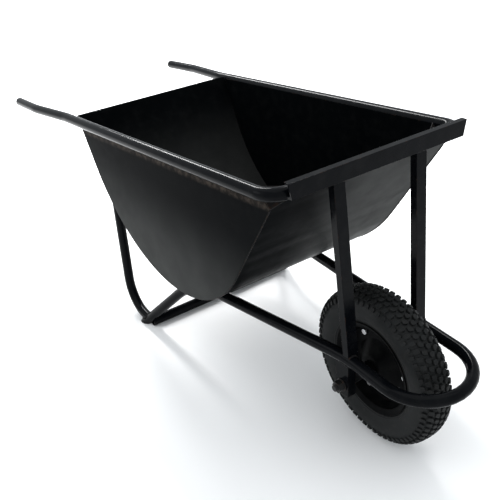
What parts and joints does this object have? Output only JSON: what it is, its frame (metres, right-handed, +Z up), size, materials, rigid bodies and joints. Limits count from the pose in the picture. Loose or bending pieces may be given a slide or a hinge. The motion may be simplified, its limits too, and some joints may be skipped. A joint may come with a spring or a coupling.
{
  "type": "wheelbarrow",
  "caption": "Single-wheel barrow: a sheet trough with a tubular rim and handles, on a tubular under-frame that loops round a pneumatic wheel.",
  "frame": {"origin": "middle of the bounding box in plan, on the ground", "axes": "+X forward, toward the wheel; +Y the barrow's left; +Z up"},
  "size_m": [1.6529, 0.592, 0.706],
  "materials": {
    "frame_paint": "black gloss paint",
    "tray_paint": "black satin paint",
    "tyre_rubber": "moulded black rubber",
    "tube_rubber": "matte",
    "rim_paint": "black satin paint",
    "zinc": "zinc plated",
    "bush_metal": "sintered, oiled"
  },
  "bodies": {
    "barrow": {"axle": "zinc", "axle_bracket_left": "frame_paint", "axle_bracket_right": "frame_paint", "axle_nut_left": "zinc", "axle_nut_right": "zinc", "axle_spacer_left": "frame_paint", "axle_spacer_right": "frame_paint", "axle_washer_left": "zinc", "axle_washer_right": "zinc", "corner_plate_left": "frame_paint", "corner_plate_right": "frame_paint", "front_bar": "frame_paint", "rail_loop": "frame_paint", "rear_leg_left": "frame_paint", "rear_leg_right": "frame_paint", "rim_tube": "frame_paint", "stand_cross_tube": "frame_paint", "strut_left": "frame_paint", "strut_right": "frame_paint", "tray_sheet": "tray_paint", "tray_side_left": "tray_paint", "tray_side_right": "tray_paint"},
    "wheel": {"bush_left": "bush_metal", "bush_right": "bush_metal", "hub": "rim_paint", "inner_tube": "tube_rubber", "rim_bolt_1": "zinc", "rim_bolt_2": "zinc", "rim_bolt_3": "zinc", "rim_bolt_4": "zinc", "rim_bolt_5": "zinc", "rim_bolt_6": "zinc", "rim_half_left": "rim_paint", "rim_half_right": "rim_paint", "rim_nut_1": "zinc", "rim_nut_2": "zinc", "rim_nut_3": "zinc", "rim_nut_4": "zinc", "rim_nut_5": "zinc", "rim_nut_6": "zinc", "tyre": "tyre_rubber", "valve_cap": "tube_rubber", "valve_stem": "tube_rubber"}
  },
  "joints": [
    {"name": "wheel_spin", "type": "hinge", "parent": "barrow", "child": "wheel", "pos_m": [0.5895, 0, 0.189], "axis": [0, 1, 0], "continuous": true}
  ]
}
